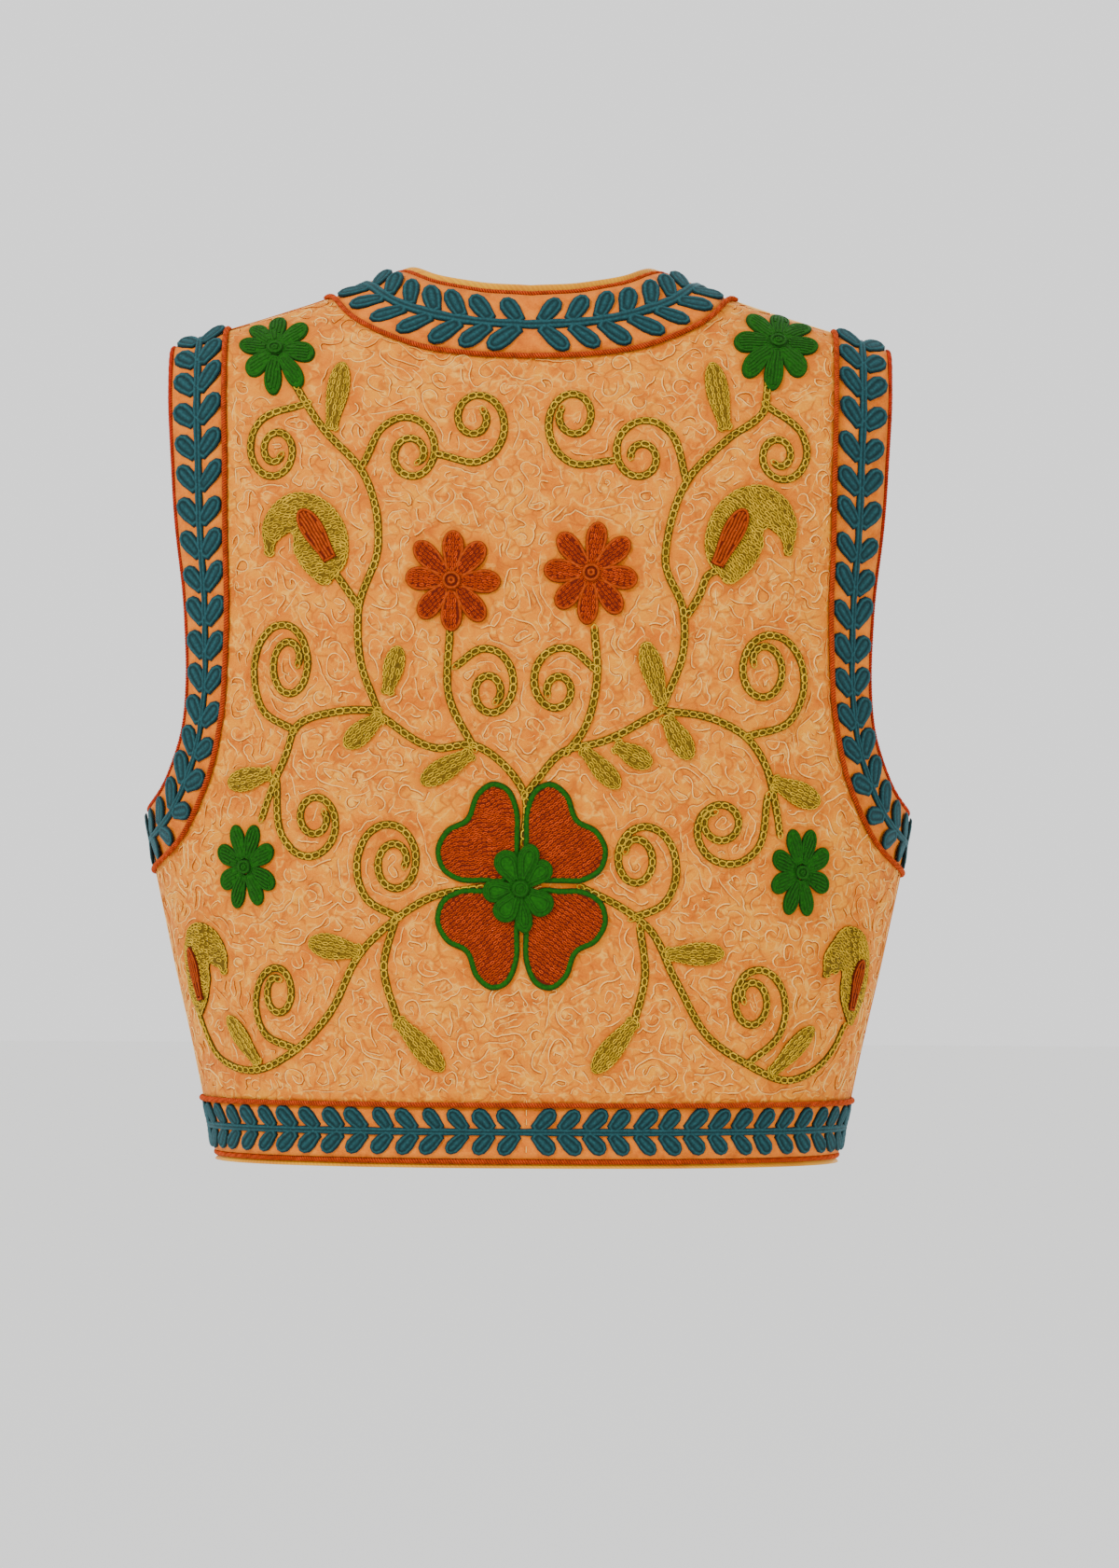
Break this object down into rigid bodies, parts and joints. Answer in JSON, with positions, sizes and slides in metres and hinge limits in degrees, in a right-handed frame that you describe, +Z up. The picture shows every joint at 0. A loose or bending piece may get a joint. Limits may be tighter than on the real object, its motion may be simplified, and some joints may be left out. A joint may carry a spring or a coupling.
{
  "type": "embroidered waistcoat",
  "caption": "Short sleeveless waistcoat in the round, open down the front, with padded leaf borders, corded edges and applied flowers and paisleys on its back.",
  "frame": {"origin": "midway between the shoulder seams at mid-shoulder height, where the wearer's shoulders hold it", "axes": "+Z up, +Y towards the wearer's front, +X towards the wearer's right"},
  "size_m": [0.419, 0.2491, 0.4846],
  "materials": {
    "ground_cloth": "matte wool cloth covered with fine pale wandering stitch lines",
    "border_cloth": "matte orange cloth with padded teal-blue stitched leaves on a spine",
    "edge_cord": "matte rust-red twisted cord",
    "lining": "golden-yellow lining, slight sheen",
    "orange_wool": "rows of burnt-orange chain stitch",
    "green_wool": "rows of deep green chain stitch",
    "olive_wool": "rows of olive-gold chain stitch"
  },
  "bodies": {
    "root": {"back_panel": "ground_cloth", "front_right": "ground_cloth", "front_left": "ground_cloth", "neck_band_back": "border_cloth", "front_band_right": "border_cloth", "front_band_left": "border_cloth", "hem_band_back": "border_cloth", "hem_band_front_right": "border_cloth", "hem_band_front_left": "border_cloth", "armhole_band_right": "border_cloth", "armhole_band_left": "border_cloth", "neck_seam_cord": "edge_cord", "neck_edge_cord": "edge_cord", "hem_seam_cord": "edge_cord", "hem_edge_cord": "edge_cord", "armhole_seam_cord_right": "edge_cord", "armhole_seam_cord_left": "edge_cord", "armhole_edge_cord_right": "edge_cord", "armhole_edge_cord_left": "edge_cord", "neck_lining_edge": "lining", "hem_lining_edge": "lining", "orange_daisy_left": "orange_wool", "orange_daisy_right": "orange_wool", "big_petal_upper_left": "orange_wool", "big_petal_upper_right": "orange_wool", "big_petal_lower_left": "orange_wool", "big_petal_lower_right": "orange_wool", "green_daisy_shoulder_left": "green_wool", "green_daisy_shoulder_right": "green_wool", "green_daisy_side_left": "green_wool", "green_daisy_side_right": "green_wool", "big_flower_heart": "green_wool", "paisley_upper_left": "olive_wool", "paisley_upper_right": "olive_wool", "paisley_side_left": "olive_wool", "paisley_side_right": "olive_wool"}
  },
  "joints": []
}
